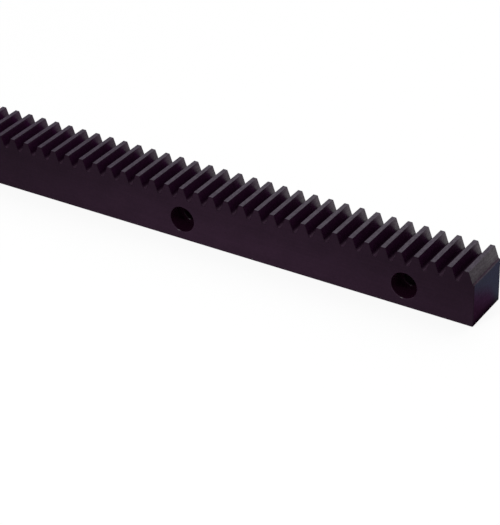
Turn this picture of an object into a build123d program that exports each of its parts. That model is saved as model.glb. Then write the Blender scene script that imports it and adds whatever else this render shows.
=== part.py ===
from build123d import *
import math
import os

# Straight gear rack in black-oxide steel, with counterbored fixing holes through its side.
# Millimetres, +Z up. The rack lies on its base with the teeth up, and its front,
# where the counterbores are, faces -Y.

# Tooth form: standard full-depth teeth with straight flanks
module = 4.0
tooth_count = 80
pressure_angle = 20.0
addendum = 1.0 * module
dedendum = 1.25 * module
root_radius = 0.38 * module
tooth_edge_break = 0.3

# Bar
bar_width = 40.0
pitch_line_height = 38.0
bar_edge_break = 0.5

# Fixing holes for M12 socket head screws, evenly spaced and centred on the length
hole_count = 6
hole_spacing = 180.0
hole_height = 16.5
screw_diameter = 12.0
screw_clearance = 2.0
head_diameter = 18.0
head_height = 12.0
head_clearance = 2.0
head_sink = 1.0
hole_edge_break = 0.5

# Dependent sizes
pitch = math.pi * module
length = tooth_count * pitch
tip_height = pitch_line_height + addendum
root_height = pitch_line_height - dedendum
flank_slope = math.tan(math.radians(pressure_angle))
root_half = pitch / 4 - dedendum * flank_slope
over_tips = tip_height + module
over_tips_half = root_half + (over_tips - root_height) * flank_slope
through_diameter = screw_diameter + screw_clearance
counterbore_diameter = head_diameter + head_clearance
counterbore_depth = head_height + head_sink
flare_depth = 2 * tooth_edge_break
front = Plane.XZ.offset(bar_width / 2)
tooth_spaces = [(index * pitch - length / 2, 0) for index in range(tooth_count + 1)]


def edges_at(part, direction, height):
    """The edges of a part that run along one axis at one height."""
    return part.edges().filter_by(direction).filter_by_position(Axis.Z, height - 0.01, height + 0.01)


# Side view of one tooth space, drawn on past the tips
with BuildSketch() as space_profile:
    with BuildLine():
        Polyline(
            (-over_tips_half, over_tips),
            (-root_half, root_height),
            (root_half, root_height),
            (over_tips_half, over_tips),
            close=True,
        )
    make_face()

# The widening of a tooth space at the side of the bar, where the teeth are deburred at 45 degrees.
# It starts outside the bar, so that it meets the side face at a slope.
with BuildPart() as edge_flare:
    with BuildSketch(front.offset(flare_depth)):
        add(space_profile.sketch)
        offset(amount=flare_depth, kind=Kind.INTERSECTION)
    extrude(amount=-flare_depth - tooth_edge_break)
    inner_edges = edge_flare.edges().group_by(Axis.Y)[-1]
    chamfer(inner_edges, flare_depth)

# One whole tooth space: straight through the bar, deburred at both sides, rounded at the root
with BuildPart() as tooth_space:
    with BuildSketch(front):
        add(space_profile.sketch)
    extrude(amount=-bar_width)
    add(edge_flare.part)
    mirror(about=Plane.XZ)
    fillet(edges_at(tooth_space, Axis.Y, root_height), root_radius)

# The rack: a bar with its edges broken, then the tooth spaces and the fixing holes
with BuildPart() as gear_rack:
    with BuildSketch(front):
        with Locations((0, tip_height / 2)):
            Rectangle(length, tip_height)
    extrude(amount=-bar_width)
    top_edges = gear_rack.edges().group_by(Axis.Z)[-1]
    chamfer(gear_rack.edges() - top_edges, bar_edge_break)
    chamfer(edges_at(gear_rack, Axis.X, tip_height), tooth_edge_break)

    # Both ends are cut through the middle of a tooth space
    with Locations(tooth_spaces):
        add(tooth_space.part, mode=Mode.SUBTRACT)

    # Fixing holes, counterbored from the front
    with Locations(front):
        with Locations((0, hole_height)):
            with GridLocations(hole_spacing, 1, hole_count, 1):
                CounterBoreHole(through_diameter / 2, counterbore_diameter / 2, counterbore_depth)
    hole_edges = gear_rack.edges().filter_by(GeomType.CIRCLE).group_by(SortBy.RADIUS)
    through_edges = hole_edges[0]
    counterbore_mouths = hole_edges[-1].group_by(Axis.Y)[0]
    chamfer(through_edges + counterbore_mouths, hole_edge_break)

os.makedirs("parts", exist_ok=True)
gear_rack.part.label = "gear_rack"
export_step(gear_rack.part, "parts/gear_rack.step")
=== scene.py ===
import math
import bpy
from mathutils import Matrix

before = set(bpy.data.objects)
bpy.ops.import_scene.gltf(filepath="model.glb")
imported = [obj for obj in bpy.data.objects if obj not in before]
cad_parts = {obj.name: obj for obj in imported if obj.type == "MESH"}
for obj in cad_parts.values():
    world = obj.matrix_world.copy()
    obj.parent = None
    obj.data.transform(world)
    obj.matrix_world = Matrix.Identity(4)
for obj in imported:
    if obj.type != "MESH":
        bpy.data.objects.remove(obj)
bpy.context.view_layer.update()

from types import SimpleNamespace

import bmesh
import bpy
from bpy.props import FloatProperty, FloatVectorProperty, PointerProperty
from mathutils import Vector

bl_info = {
    "name": "Gear Rack Finish",
    "version": (1, 0, 0),
    "blender": (4, 5, 0),
    "location": "View3D > Sidebar > Gear Rack",
    "description": "Black-oxide finish, floor, lights and camera for a straight gear rack",
    "category": "Object",
}

RACK = "gear_rack"

# The rack's measures in metres
ROOT_HEIGHT = 0.033
TIP_HEIGHT = 0.042
HALF_WIDTH = 0.020
HALF_LENGTH = 0.50265

# Every pair below is the level where a ramp starts and the level where it ends. It gives 0 at the first
# and 1 at the second, unless two more numbers say what it gives there.

# Share of the normal along the axis that a surface faces
SIDE_FACING = (0.90, 0.97)
EDGE_FACING = (0.45, 0.65)
END_FACING = (0.955, 0.985)
LAND_FACING = (0.96, 0.99)

# Distance in from the nearer end, in metres
END_REACH = (0.002, 0.001)
OPEN_REACH = (0.0066, 0.0060)
HIGHLIGHT_REACH = (0.0006, 0.0002)

# Distance in from the nearer side, in metres
BORE_REACH = (0.0004, 0.0007)

# Distance below the tips of the teeth, in metres
LAND_DROP = (0.0012, 0.0002)

# Height above the roots of the teeth, in metres
ROOT_RISE = (0.0022, 0.0004)
OPEN_ROOT_RISE = (0.0036, 0.0004, 0.0, 0.25)
LEDGE_RISE = (0.0008, 0.0002, 0.0, 0.90)
HIGHLIGHT_BOTTOM = (-0.0009, -0.0005)
HIGHLIGHT_TOP = (0.0006, 0.0003)
BODY_TOP = (-0.003, -0.004)

# Height above the base, in metres
BODY_BOTTOM = (0.001, 0.002)

# The painted highlight along the end's top edge fades to the front, and is broken where a noise is low
HIGHLIGHT_FADE = (-0.019, -0.008, 0.3, 1.0)
HIGHLIGHT_GAPS = (0.35, 0.60, 0.4, 1.0)

# Spots per metre along X, Y and Z
DRAWN_SPOTS = (20.0, 60.0, 1400.0)
MILLED_SPOTS = (2400.0, 55.0, 2400.0)
BLOTCH_SPOTS = (45.0, 45.0, 60.0)
GRAIN_SPOTS = (700.0, 420.0, 700.0)
HIGHLIGHT_SPOTS = (120.0, 120.0, 120.0)

# Contrast of the noises
LINE_CONTRAST = (0.3, 0.7)
SPOT_CONTRAST = (0.25, 0.75)

# Length of the wave along the bar, where the painted pool of light on the sides is brightest, and where
# the oil shines most, in metres. The shine comes and goes over a longer stretch than the painted light,
# by this factor.
WAVE_LENGTH = 0.46
LIGHT_POOL_PEAK = 0.31
SHINE_PEAK = 0.40
SHINE_STRETCH = 1.5

# The end's colours are a painted reflection that follows the height, and comes lower towards the back
# corner
TINT_SLOPE = 0.47
TINT_CURVE = 40.0
PURPLE_RISE = (0.002, 0.013)
BLUE_RISE = (0.011, 0.027)

# Where along Y the painted reflection at the back of the tooth spaces comes in
BACK_REFLECTION_REACH = (0.007, 0.013)

# Tone as a factor on the colour. Blotches, grain and lines are the oxide's own. The wave along the bar
# is a painted pool of light on the sides, which are also lighter towards the base. The end, foot and
# edge shades
# are painted shade: towards the base of the ends, at the foot of the flanks deep in the tooth spaces,
# and on the broken edges. The root highlight makes the roots lighter, a painted highlight.
LIGHT_POOL_SWING = 0.16
LIGHT_POOL_LEVEL = 0.87
SIDE_TONE = (0.0, 0.036, 1.18, 0.80)
END_SHADE = (-0.002, 0.010, 0.12, 1.0)
FOOT_SHADE = (0.034, 0.039, 0.72, 1.0)
ROOT_HIGHLIGHT = 1.15
EDGE_SHADE = 0.6
BLOTCH_TONE = (0.0, 1.0, 0.94, 1.06)
SIDE_GRAIN_TONE = (0.0, 1.0, 0.95, 1.05)
TOOTH_GRAIN_TONE = (0.0, 1.0, 0.85, 1.15)
LINE_TONE = (0.0, 1.0, 0.95, 1.05)

# Gloss of the oiled film, as a factor on its strength, but for the roots, whose gloss is given itself
SHINE_SWING = 0.23
SHINE_LEVEL = 0.79
GRAIN_GLOSS = (0.0, 1.0, 0.80, 1.20)
LINE_GLOSS = (0.0, 1.0, 0.90, 1.10)
INNER_OIL = (0.0105, 0.0195, 0.43, 1.46)
OPEN_OIL = (-0.010, 0.030, 0.89, 1.50)
LAND_OIL = (0.0, 0.022, 1.02, 1.16)
ROOT_GLOSS = 0.03

# The shader's own values
ROUGHNESS = (0.0, 1.0, 0.38, 0.50)
COAT_ROUGHNESS = 0.22
COAT_IOR = 1.5
BUMP_STRENGTH = 0.5

# Stage, in metres
FLOOR_REACH = 12.0
BACK_LAMP = {"place": (0.5, 1.2, 1.8), "target": (0.2, 0.0, 0.0), "size": 1.6}
FRONT_LAMP = {"place": (0.21, -0.84, 1.07), "target": (0.3, 0.0, 0.02), "size": 0.25}
NEAR_CLIP = 0.05
FAR_CLIP = 50.0
SENSOR_WIDTH_MM = 36.0
WHITE = (1.0, 1.0, 1.0, 1.0)


# Settings

class RackFinishSettings(bpy.types.PropertyGroup):
    """Colours and surface values of the blackened steel, painted reflections and a painted highlight
    among the colours.
    """

    side_colour: FloatVectorProperty(
        name="Side colour",
        description="Black oxide on the drawn side faces",
        subtype="COLOR", size=3, min=0.0, max=1.0,
        default=(0.0240, 0.0108, 0.0221),
    )
    flank_colour: FloatVectorProperty(
        name="Flank colour",
        description="Black oxide on the milled flanks of the teeth",
        subtype="COLOR", size=3, min=0.0, max=1.0,
        default=(0.0122, 0.0028, 0.0110),
    )
    # A painted reflection: a lighter plum tint on the back of the flanks in the tooth spaces.
    back_reflection_colour: FloatVectorProperty(
        name="Film colour",
        description="Plum tint where the oil has run to the back of the tooth spaces",
        subtype="COLOR", size=3, min=0.0, max=1.0,
        default=(0.0200, 0.0030, 0.0190),
    )
    root_colour: FloatVectorProperty(
        name="Root colour",
        description="Duller, browner oxide in the roots of the tooth spaces",
        subtype="COLOR", size=3, min=0.0, max=1.0,
        default=(0.0240, 0.0120, 0.0220),
    )
    land_colour: FloatVectorProperty(
        name="Land colour",
        description="Thinner, greyer oxide on the tops of the teeth",
        subtype="COLOR", size=3, min=0.0, max=1.0,
        default=(0.0170, 0.0062, 0.0212),
    )
    bore_colour: FloatVectorProperty(
        name="Bore colour",
        description="Dark oiled oxide inside the fixing holes",
        subtype="COLOR", size=3, min=0.0, max=1.0,
        default=(0.0105, 0.0020, 0.0073),
    )
    # The three end colours are a painted reflection over the plum-black oxide: darkest near the base,
    # purple half way and bluish high up.
    end_low_colour: FloatVectorProperty(
        name="Low end colour",
        description="Plum-black oxide near the base on the cut ends",
        subtype="COLOR", size=3, min=0.0, max=1.0,
        default=(0.0206, 0.0063, 0.0176),
    )
    end_middle_colour: FloatVectorProperty(
        name="Middle end colour",
        description="Purple oxide film half way up the cut ends",
        subtype="COLOR", size=3, min=0.0, max=1.0,
        default=(0.0277, 0.0107, 0.0283),
    )
    end_high_colour: FloatVectorProperty(
        name="High end colour",
        description="Bluish oxide film on the upper part of the cut ends",
        subtype="COLOR", size=3, min=0.0, max=1.0,
        default=(0.0122, 0.0129, 0.0343),
    )
    # A painted highlight: a lighter line along the top edge of the cut ends.
    edge_highlight_colour: FloatVectorProperty(
        name="Worn colour",
        description="Rubbed oxide along the top edge of the cut ends",
        subtype="COLOR", size=3, min=0.0, max=1.0,
        default=(0.0420, 0.0350, 0.0480),
    )
    tooth_gloss: FloatProperty(
        name="Tooth gloss",
        description="How much the oiled film on the teeth shines",
        subtype="FACTOR", min=0.0, max=1.0,
        default=0.65,
    )
    side_gloss: FloatProperty(
        name="Side gloss",
        description="How much the oiled film on the side faces shines",
        subtype="FACTOR", min=0.0, max=1.0,
        default=0.05,
    )
    end_gloss: FloatProperty(
        name="End gloss",
        description="How much the oiled film on the cut ends shines",
        subtype="FACTOR", min=0.0, max=1.0,
        default=0.10,
    )
    edge_gloss: FloatProperty(
        name="Hole edge gloss",
        description="How much the broken edges of the fixing holes shine",
        subtype="FACTOR", min=0.0, max=1.0,
        default=0.09,
    )
    bore_gloss: FloatProperty(
        name="Bore gloss",
        description="How much the oiled film inside the fixing holes shines",
        subtype="FACTOR", min=0.0, max=1.0,
        default=0.14,
    )
    # Length of the wave along the bar: the painted pool of light on the sides comes and goes over it,
    # and the shine over a longer stretch.
    wave_length: FloatProperty(
        name="Cloud length",
        description="Length along the bar over which the tone of the oxide comes and goes",
        subtype="DISTANCE", unit="LENGTH", min=0.01, max=5.0,
        default=WAVE_LENGTH,
    )
    mark_depth: FloatProperty(
        name="Mark depth",
        description="Depth of the fine lines that the cutter and the rollers leave",
        subtype="DISTANCE", unit="LENGTH", min=0.0, max=0.001,
        default=0.000006,
    )


class RackStageSettings(bpy.types.PropertyGroup):
    """Floor, light and camera around the rack."""

    floor_colour: FloatVectorProperty(
        name="Floor colour",
        description="Colour of the plain floor",
        subtype="COLOR", size=3, min=0.0, max=1.0,
        default=(0.9, 0.9, 0.9),
    )
    shadow_share: FloatProperty(
        name="Shadow share",
        description="Share of the floor that is lit by the lamps, and so takes the rack's shadow",
        subtype="FACTOR", min=0.0, max=1.0,
        default=0.12,
    )
    sky_strength: FloatProperty(
        name="Room light",
        description="Strength of the even light of the room",
        min=0.0, max=10.0,
        default=0.6,
    )
    back_power: FloatProperty(
        name="Back lamp",
        description="Power of the large soft lamp above and behind",
        subtype="POWER", unit="POWER", min=0.0, max=1000.0,
        default=20.0,
    )
    front_power: FloatProperty(
        name="Front lamp",
        description="Power of the smaller lamp above and in front",
        subtype="POWER", unit="POWER", min=0.0, max=1000.0,
        default=6.0,
    )
    camera_place: FloatVectorProperty(
        name="Camera place",
        description="Where the camera stands",
        subtype="TRANSLATION", unit="LENGTH", size=3,
        default=(0.98901, -1.05697, 0.75251),
    )
    camera_turn: FloatVectorProperty(
        name="Camera turn",
        description="Tilt, roll and heading of the camera",
        subtype="EULER", unit="ROTATION", size=3,
        default=(math.radians(58.4595), math.radians(1.2669), math.radians(31.7746)),
    )
    lens: FloatProperty(
        name="Lens",
        description="Focal length for a 36 mm long side",
        min=10.0, max=400.0,
        default=139.35,
    )


# Shader helpers

def new_group(name, inputs, outputs):
    """A shader node group with named values going in and coming out."""
    group = bpy.data.node_groups.new(name, "ShaderNodeTree")
    for socket_name, value in inputs.items():
        socket = group.interface.new_socket(
            name=socket_name, in_out="INPUT", socket_type="NodeSocketFloat"
        )
        socket.default_value = value
    for socket_name in outputs:
        group.interface.new_socket(
            name=socket_name, in_out="OUTPUT", socket_type="NodeSocketFloat"
        )
    start = group.nodes.new("NodeGroupInput")
    end = group.nodes.new("NodeGroupOutput")
    return group, start.outputs, end.inputs


def feed(tree, value, socket):
    """Puts a number, a colour or another socket on an input."""
    if isinstance(value, bpy.types.NodeSocket):
        tree.links.new(value, socket)
    else:
        socket.default_value = value


def math_node(tree, operation, *values, clamp=False):
    """A Math node whose inputs are either numbers or sockets."""
    node = tree.nodes.new("ShaderNodeMath")
    node.operation = operation
    node.use_clamp = clamp
    for value, socket in zip(values, node.inputs):
        feed(tree, value, socket)
    return node.outputs[0]


def product(tree, first, *others):
    """Values multiplied one after the other."""
    for other in others:
        first = math_node(tree, "MULTIPLY", first, other)
    return first


def outside(tree, mask):
    """What a mask leaves out."""
    return math_node(tree, "SUBTRACT", 1.0, mask)


def ramp(tree, value, low, high, low_out=0.0, high_out=1.0):
    """A value that goes smoothly from one level to another."""
    node = tree.nodes.new("ShaderNodeMapRange")
    node.interpolation_type = "SMOOTHSTEP"
    tree.links.new(value, node.inputs["Value"])
    node.inputs["From Min"].default_value = low
    node.inputs["From Max"].default_value = high
    node.inputs["To Min"].default_value = low_out
    node.inputs["To Max"].default_value = high_out
    return node.outputs["Result"]


def mix_value(tree, share, first, second):
    """Two values mixed by a share."""
    node = tree.nodes.new("ShaderNodeMix")
    node.data_type = "FLOAT"
    feed(tree, share, node.inputs[0])
    feed(tree, first, node.inputs[2])
    feed(tree, second, node.inputs[3])
    return node.outputs[0]


def mix_colour(tree, share, first, second):
    """Two colours mixed by a share."""
    node = tree.nodes.new("ShaderNodeMix")
    node.data_type = "RGBA"
    feed(tree, share, node.inputs[0])
    feed(tree, first, node.inputs[6])
    feed(tree, second, node.inputs[7])
    return node.outputs[2]


def noise(tree, vector, spots, detail, roughness=0.5):
    """Soft noise with its own number of spots per metre along each axis."""
    mapping = tree.nodes.new("ShaderNodeMapping")
    mapping.inputs["Scale"].default_value = spots
    tree.links.new(vector, mapping.inputs["Vector"])
    node = tree.nodes.new("ShaderNodeTexNoise")
    node.inputs["Scale"].default_value = 1.0
    node.inputs["Detail"].default_value = detail
    node.inputs["Roughness"].default_value = roughness
    tree.links.new(mapping.outputs["Vector"], node.inputs["Vector"])
    return node.outputs["Fac"]


def axes(tree, vector):
    """The X, Y and Z of a vector."""
    node = tree.nodes.new("ShaderNodeSeparateXYZ")
    tree.links.new(vector, node.inputs[0])
    return node.outputs


def colour4(colour):
    """An RGB setting with full alpha."""
    return (colour[0], colour[1], colour[2], 1.0)


def placed_group(tree, group):
    """A node group placed in a material."""
    node = tree.nodes.new("ShaderNodeGroup")
    node.node_tree = group
    return node


def background_rays(tree):
    """1 for rays that see the background, straight, reflected or through glass, and 0 for others."""
    rays = tree.nodes.new("ShaderNodeLightPath").outputs
    seen = math_node(tree, "ADD", rays["Is Camera Ray"], rays["Is Glossy Ray"])
    return math_node(tree, "ADD", seen, rays["Is Transmission Ray"], clamp=True)


# Shared effects

def surfaces_group():
    """Masks for the parts of the rack's surface, from the way they face and where they lie."""
    names = ("Side", "End", "Land", "Root", "Edge", "Rim", "Bore", "Highlight", "Open")
    sizes = {
        "Root Height": ROOT_HEIGHT,
        "Tip Height": TIP_HEIGHT,
        "Half Width": HALF_WIDTH,
        "Half Length": HALF_LENGTH,
    }
    group, start, end = new_group("Rack surfaces", sizes, names)
    where = group.nodes.new("ShaderNodeTexCoord").outputs
    normal = axes(group, where["Normal"])
    place = axes(group, where["Object"])
    along = math_node(group, "ABSOLUTE", normal["X"])
    across = math_node(group, "ABSOLUTE", normal["Y"])
    reach = math_node(group, "ABSOLUTE", place["X"])
    from_end = math_node(group, "SUBTRACT", start["Half Length"], reach)
    at_end = ramp(group, from_end, *END_REACH)
    side = ramp(group, across, *SIDE_FACING)
    end_face = product(group, ramp(group, along, *END_FACING), at_end)
    not_side = outside(group, side)
    edge = product(group, ramp(group, across, *EDGE_FACING), not_side)

    # The outer flank of the last tooth at each end, and the half space beyond it, lie open
    open_end = ramp(group, from_end, *OPEN_REACH)

    below_tip = math_node(group, "SUBTRACT", start["Tip Height"], place["Z"])
    high = ramp(group, below_tip, *LAND_DROP)
    land = product(group, ramp(group, normal["Z"], *LAND_FACING), high)

    # At an open end, the foot of the flank is less dull than a root, and the ledge below it as dull
    above_root = math_node(group, "SUBTRACT", place["Z"], start["Root Height"])
    low = ramp(group, above_root, *ROOT_RISE)
    open_foot = ramp(group, above_root, *OPEN_ROOT_RISE)
    ledge = ramp(group, above_root, *LEDGE_RISE)
    open_low = math_node(group, "MAXIMUM", open_foot, ledge)
    low = mix_value(group, open_end, low, open_low)
    root = product(group, low, product(group, not_side, outside(group, end_face)))

    # A painted highlight along the end's top edge is half on the ledge and half on the end face below
    # it. It is broken in places and fades to the front.
    near_end = ramp(group, from_end, *HIGHLIGHT_REACH)
    not_below = ramp(group, above_root, *HIGHLIGHT_BOTTOM)
    not_above = ramp(group, above_root, *HIGHLIGHT_TOP)
    edge_highlight = product(group, near_end, product(group, not_below, not_above))
    patches = noise(group, where["Object"], HIGHLIGHT_SPOTS, detail=2.0)
    edge_highlight = product(group, edge_highlight, ramp(group, patches, *HIGHLIGHT_GAPS))
    edge_highlight = product(group, edge_highlight, ramp(group, place["Y"], *HIGHLIGHT_FADE))

    # The holes are the surface inside the bar, in from both sides and both ends, and well clear of
    # the roots and the base
    from_side = math_node(
        group, "SUBTRACT", start["Half Width"], math_node(group, "ABSOLUTE", place["Y"])
    )
    below_teeth = ramp(group, above_root, *BODY_TOP)
    above_base = ramp(group, place["Z"], *BODY_BOTTOM)
    body = product(group, outside(group, at_end), product(group, below_teeth, above_base))
    bore = product(group, ramp(group, from_side, *BORE_REACH), body)
    rim = product(group, edge, body)

    masks = (side, end_face, land, root, edge, rim, bore, edge_highlight, open_end)
    for name, mask in zip(names, masks):
        group.links.new(mask, end[name])
    return group


def machining_group():
    """Fine lines along the bar on its sides, and across it on the teeth and the ends."""
    group, start, end = new_group("Machining lines", {"Side": 0.0}, ("Height", "Tone"))
    where = group.nodes.new("ShaderNodeTexCoord").outputs
    drawn = noise(group, where["Object"], DRAWN_SPOTS, detail=2.0, roughness=0.6)
    milled = noise(group, where["Object"], MILLED_SPOTS, detail=2.0, roughness=0.6)
    height = mix_value(group, start["Side"], milled, drawn)
    group.links.new(height, end["Height"])
    group.links.new(ramp(group, height, *LINE_CONTRAST), end["Tone"])
    return group


def light_and_blotches_group():
    """A long soft wave along the bar, for a painted pool of light and for the shine, and the oxide's
    own blotches and fine grain.
    """
    waves = {"Length": WAVE_LENGTH, "Peak": LIGHT_POOL_PEAK}
    group, start, end = new_group("Oxide clouds", waves, ("Long Wave", "Blotch", "Grain"))
    where = group.nodes.new("ShaderNodeTexCoord").outputs
    offset = math_node(group, "SUBTRACT", axes(group, where["Object"])["X"], start["Peak"])
    turns = math_node(group, "DIVIDE", offset, start["Length"])
    wave = math_node(group, "COSINE", product(group, turns, 2 * math.pi))
    blotch = noise(group, where["Object"], BLOTCH_SPOTS, detail=4.0, roughness=0.55)
    grain = noise(group, where["Object"], GRAIN_SPOTS, detail=3.0, roughness=0.65)
    group.links.new(wave, end["Long Wave"])
    group.links.new(ramp(group, blotch, *SPOT_CONTRAST), end["Blotch"])
    group.links.new(ramp(group, grain, *SPOT_CONTRAST), end["Grain"])
    return group


# Material

def oxide_maps(tree, finish):
    """The masks and patterns of the oxide and of the painted light, placed in the material."""
    surfaces = placed_group(tree, surfaces_group())
    lines = placed_group(tree, machining_group())
    tree.links.new(surfaces.outputs["Side"], lines.inputs["Side"])
    light_and_blotch_shapes = light_and_blotches_group()
    light_and_blotches = placed_group(tree, light_and_blotch_shapes)
    light_and_blotches.inputs["Length"].default_value = finish.wave_length
    shine = placed_group(tree, light_and_blotch_shapes)
    shine.inputs["Length"].default_value = finish.wave_length * SHINE_STRETCH
    shine.inputs["Peak"].default_value = SHINE_PEAK
    place = axes(tree, tree.nodes.new("ShaderNodeTexCoord").outputs["Object"])

    # Height on the end face for the painted reflection, raised towards the back and more so near the
    # back corner
    rise = math_node(tree, "MULTIPLY_ADD", place["Y"], TINT_SLOPE, place["Z"])
    behind = math_node(tree, "POWER", math_node(tree, "MAXIMUM", place["Y"], 0.0), 2.0)
    rise = math_node(tree, "MULTIPLY_ADD", behind, TINT_CURVE, rise)
    return SimpleNamespace(
        surfaces=surfaces.outputs,
        lines=lines.outputs,
        light_and_blotches=light_and_blotches.outputs,
        shine=shine.outputs,
        place=place,
        purple=ramp(tree, rise, *PURPLE_RISE),
        blue=ramp(tree, rise, *BLUE_RISE),
    )


def oxide_and_painted_colour(tree, finish, maps):
    """The colour on each part of the surface: the oxide's own colour, with painted reflections on the
    ends and at the back of the flanks and a painted highlight along the ends' top edge.
    """
    end_tint_and_reflection = colour4(finish.end_low_colour)
    end_tint_and_reflection = mix_colour(tree, maps.purple, end_tint_and_reflection, colour4(finish.end_middle_colour))
    end_tint_and_reflection = mix_colour(tree, maps.blue, end_tint_and_reflection, colour4(finish.end_high_colour))

    # Painted reflection: the flanks turn lighter and more plum towards the back of the tooth spaces,
    # but not on the open flanks.
    at_back = ramp(tree, maps.place["Y"], *BACK_REFLECTION_REACH)
    film = product(tree, at_back, outside(tree, maps.surfaces["Open"]))
    colour = mix_colour(tree, film, colour4(finish.flank_colour), colour4(finish.back_reflection_colour))
    for surface, tint in (
        ("Root", colour4(finish.root_colour)),
        ("Land", colour4(finish.land_colour)),
        ("Edge", colour4(finish.side_colour)),
        ("Side", colour4(finish.side_colour)),
        ("Bore", colour4(finish.bore_colour)),
        ("End", end_tint_and_reflection),
        ("Highlight", colour4(finish.edge_highlight_colour)),
    ):
        colour = mix_colour(tree, maps.surfaces[surface], colour, tint)
    return colour


def tone_and_painted_light(tree, maps):
    """How much lighter or darker the colour is at each point: the oxide's own blotches, grain and
    lines, with painted light and shade.
    """
    surfaces, grain, height = maps.surfaces, maps.light_and_blotches["Grain"], maps.place["Z"]
    # Painted light: the sides are lighter along a broad wave down the bar, brightest at its peak, and
    # lighter towards the base.
    light_pool = math_node(tree, "MULTIPLY_ADD", maps.light_and_blotches["Long Wave"], LIGHT_POOL_SWING, LIGHT_POOL_LEVEL)
    side_tone = product(tree, light_pool, ramp(tree, height, *SIDE_TONE))
    # Painted shade: the end faces are much darker towards the base.
    end_shade = ramp(tree, height, *END_SHADE)

    # Painted shade: the flanks are darker at their foot, deep in the tooth spaces. The bores and the
    # open flanks keep their tone, and the roots are made lighter, a painted highlight.
    tone = ramp(tree, height, *FOOT_SHADE)
    tone = mix_value(tree, surfaces["Bore"], tone, 1.0)
    tone = mix_value(tree, surfaces["Open"], tone, 1.0)
    tone = mix_value(tree, surfaces["Root"], tone, ROOT_HIGHLIGHT)

    # Painted shade makes the broken edges darker too. The rims of the holes keep their tone.
    corner = math_node(tree, "SUBTRACT", surfaces["Edge"], surfaces["Rim"], clamp=True)
    tone = mix_value(tree, corner, tone, EDGE_SHADE)
    tone = mix_value(tree, surfaces["End"], tone, end_shade)
    tone = mix_value(tree, surfaces["Side"], tone, side_tone)

    side_grain = ramp(tree, grain, *SIDE_GRAIN_TONE)
    tooth_grain = ramp(tree, grain, *TOOTH_GRAIN_TONE)
    return product(
        tree,
        tone,
        ramp(tree, maps.light_and_blotches["Blotch"], *BLOTCH_TONE),
        mix_value(tree, surfaces["Side"], tooth_grain, side_grain),
        ramp(tree, maps.lines["Tone"], *LINE_TONE),
    )


def oxide_gloss(tree, finish, maps):
    """How much the oiled film shines at each point, with more oil to the back of the teeth."""
    gloss = product(
        tree,
        ramp(tree, maps.light_and_blotches["Grain"], *GRAIN_GLOSS),
        math_node(tree, "MULTIPLY_ADD", maps.shine["Long Wave"], SHINE_SWING, SHINE_LEVEL),
        ramp(tree, maps.lines["Tone"], *LINE_GLOSS),
        finish.tooth_gloss,
    )
    inner_oil = ramp(tree, maps.place["Y"], *INNER_OIL)
    open_oil = ramp(tree, maps.place["Y"], *OPEN_OIL)
    flank_oil = mix_value(tree, maps.surfaces["Open"], inner_oil, open_oil)
    land_gloss = product(tree, gloss, ramp(tree, maps.place["Y"], *LAND_OIL))
    gloss = product(tree, gloss, flank_oil)
    for surface, gloss_there in (
        ("Land", land_gloss),
        ("Root", ROOT_GLOSS),
        ("Edge", finish.side_gloss),
        ("Side", finish.side_gloss),
        ("Bore", finish.bore_gloss),
        ("Rim", finish.edge_gloss),
        ("End", product(tree, maps.blue, finish.end_gloss)),
    ):
        gloss = mix_value(tree, maps.surfaces[surface], gloss, gloss_there)
    return gloss


def black_oxide_material(finish):
    """Blackened steel: plum-black sides, glossier milled teeth, greyer lands and bluish ends, the ends'
    colours a painted reflection, with painted light and shade.
    """
    material = bpy.data.materials.new("black_oxide_steel")
    material.use_nodes = True
    tree = material.node_tree
    tree.nodes.clear()
    output = tree.nodes.new("ShaderNodeOutputMaterial")
    shader = tree.nodes.new("ShaderNodeBsdfPrincipled")
    tree.links.new(shader.outputs["BSDF"], output.inputs["Surface"])
    maps = oxide_maps(tree, finish)

    toned = tree.nodes.new("ShaderNodeVectorMath")
    toned.operation = "SCALE"
    tree.links.new(oxide_and_painted_colour(tree, finish, maps), toned.inputs[0])
    tree.links.new(tone_and_painted_light(tree, maps), toned.inputs["Scale"])
    tree.links.new(toned.outputs["Vector"], shader.inputs["Base Color"])

    tree.links.new(oxide_gloss(tree, finish, maps), shader.inputs["Coat Weight"])
    roughness = ramp(tree, maps.light_and_blotches["Blotch"], *ROUGHNESS)
    tree.links.new(roughness, shader.inputs["Roughness"])
    shader.inputs["Coat Roughness"].default_value = COAT_ROUGHNESS
    shader.inputs["Coat IOR"].default_value = COAT_IOR
    shader.inputs["Specular IOR Level"].default_value = 0.0
    shader.inputs["Metallic"].default_value = 0.0

    bump = tree.nodes.new("ShaderNodeBump")
    bump.inputs["Strength"].default_value = BUMP_STRENGTH
    bump.inputs["Distance"].default_value = finish.mark_depth
    tree.links.new(maps.lines["Height"], bump.inputs["Height"])
    tree.links.new(bump.outputs["Normal"], shader.inputs["Normal"])
    return material


# Stage

def floor_material(stage):
    """A plain pale floor that stays white and takes a light shadow."""
    material = bpy.data.materials.new("floor")
    material.use_nodes = True
    tree = material.node_tree
    tree.nodes.clear()
    output = tree.nodes.new("ShaderNodeOutputMaterial")
    lit = tree.nodes.new("ShaderNodeBsdfDiffuse")
    lit.inputs["Color"].default_value = colour4(stage.floor_colour)
    glow = tree.nodes.new("ShaderNodeEmission")
    glow.inputs["Color"].default_value = WHITE
    glow.inputs["Strength"].default_value = 1.0
    mix = tree.nodes.new("ShaderNodeMixShader")
    share = product(tree, background_rays(tree), 1.0 - stage.shadow_share)
    tree.links.new(share, mix.inputs["Fac"])
    tree.links.new(lit.outputs["BSDF"], mix.inputs[1])
    tree.links.new(glow.outputs["Emission"], mix.inputs[2])
    tree.links.new(mix.outputs["Shader"], output.inputs["Surface"])
    return material


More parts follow.
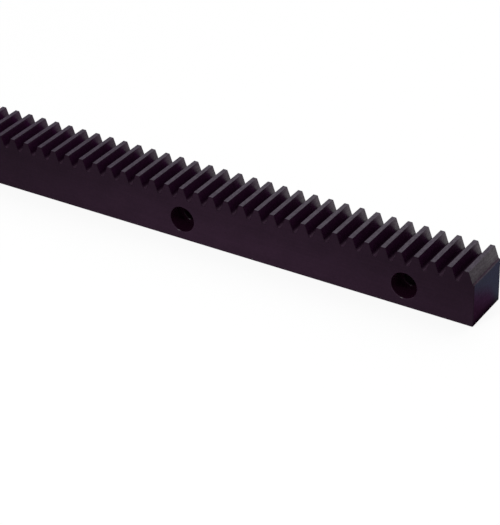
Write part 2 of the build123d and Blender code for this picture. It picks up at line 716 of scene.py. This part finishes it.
def level_sheet(name, reach):
    """A square sheet at the height of the rack's base."""
    sheet = bmesh.new()
    bmesh.ops.create_grid(sheet, x_segments=1, y_segments=1, size=reach)
    mesh = bpy.data.meshes.new(name)
    sheet.to_mesh(mesh)
    sheet.free()
    piece = bpy.data.objects.new(name, mesh)
    bpy.context.scene.collection.objects.link(piece)
    return piece


def room_world(stage):
    """Even light from all around, with a white background to look at."""
    world = bpy.data.worlds.new("room")
    world.use_nodes = True
    tree = world.node_tree
    backdrop = tree.nodes["Background"]
    backdrop.inputs["Color"].default_value = WHITE
    light = stage.sky_strength
    strength = math_node(tree, "MULTIPLY_ADD", background_rays(tree), 1.0 - light, light)
    tree.links.new(strength, backdrop.inputs["Strength"])
    return world


def area_lamp(name, place, target, size, power):
    """A soft square lamp that looks at a point."""
    data = bpy.data.lights.new(name, "AREA")
    data.shape = "SQUARE"
    data.size = size
    data.energy = power
    lamp = bpy.data.objects.new(name, data)
    bpy.context.scene.collection.objects.link(lamp)
    lamp.location = place
    direction = Vector(target) - lamp.location
    lamp.rotation_euler = direction.to_track_quat("-Z", "Y").to_euler()


def stage_camera(stage):
    """The camera at the photograph's place, turn and lens."""
    data = bpy.data.cameras.new("camera")
    data.lens = stage.lens
    data.sensor_width = SENSOR_WIDTH_MM
    data.clip_start = NEAR_CLIP
    data.clip_end = FAR_CLIP
    camera = bpy.data.objects.new("camera", data)
    bpy.context.scene.collection.objects.link(camera)
    camera.location = stage.camera_place
    camera.rotation_euler = stage.camera_turn
    return camera


# Operators

class RACK_OT_finish(bpy.types.Operator):
    """Gives the gear rack its black-oxide finish"""

    bl_idname = "rack.finish"
    bl_label = "Finish the rack"

    def execute(self, context):
        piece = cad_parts.get(RACK)
        if piece is None:
            raise RuntimeError("the gear rack is missing from the frame")
        material = black_oxide_material(context.scene.rack_finish)
        piece.data.materials.clear()
        piece.data.materials.append(material)
        return {"FINISHED"}


class RACK_OT_stage(bpy.types.Operator):
    """Adds the floor, the room light, the lamps and the camera"""

    bl_idname = "rack.stage"
    bl_label = "Set the stage"

    def execute(self, context):
        scene = context.scene
        stage = scene.rack_stage

        floor = level_sheet("floor", FLOOR_REACH)
        floor.data.materials.append(floor_material(stage))

        scene.world = room_world(stage)
        area_lamp("back lamp", power=stage.back_power, **BACK_LAMP)
        area_lamp("front lamp", power=stage.front_power, **FRONT_LAMP)
        scene.camera = stage_camera(stage)
        scene.view_settings.view_transform = "Standard"
        return {"FINISHED"}


class RACK_PT_panel(bpy.types.Panel):
    """Buttons and settings of the gear rack"""

    bl_label = "Gear rack"
    bl_idname = "RACK_PT_panel"
    bl_space_type = "VIEW_3D"
    bl_region_type = "UI"
    bl_category = "Gear Rack"

    def draw(self, context):
        layout = self.layout
        layout.operator(RACK_OT_finish.bl_idname)
        for name in RackFinishSettings.__annotations__:
            layout.prop(context.scene.rack_finish, name)
        layout.operator(RACK_OT_stage.bl_idname)
        for name in RackStageSettings.__annotations__:
            layout.prop(context.scene.rack_stage, name)


CLASSES = (RackFinishSettings, RackStageSettings, RACK_OT_finish, RACK_OT_stage, RACK_PT_panel)


def register():
    """Registers the classes and hangs the settings on the scene."""
    for item in CLASSES:
        bpy.utils.register_class(item)
    bpy.types.Scene.rack_finish = PointerProperty(type=RackFinishSettings)
    bpy.types.Scene.rack_stage = PointerProperty(type=RackStageSettings)


def unregister():
    """Removes the settings and the classes."""
    del bpy.types.Scene.rack_stage
    del bpy.types.Scene.rack_finish
    for item in reversed(CLASSES):
        bpy.utils.unregister_class(item)


def main():
    """Registers the add-on, finishes the rack and sets the stage."""
    register()
    bpy.ops.rack.finish()
    bpy.ops.rack.stage()


if __name__ == "__main__":
    main()
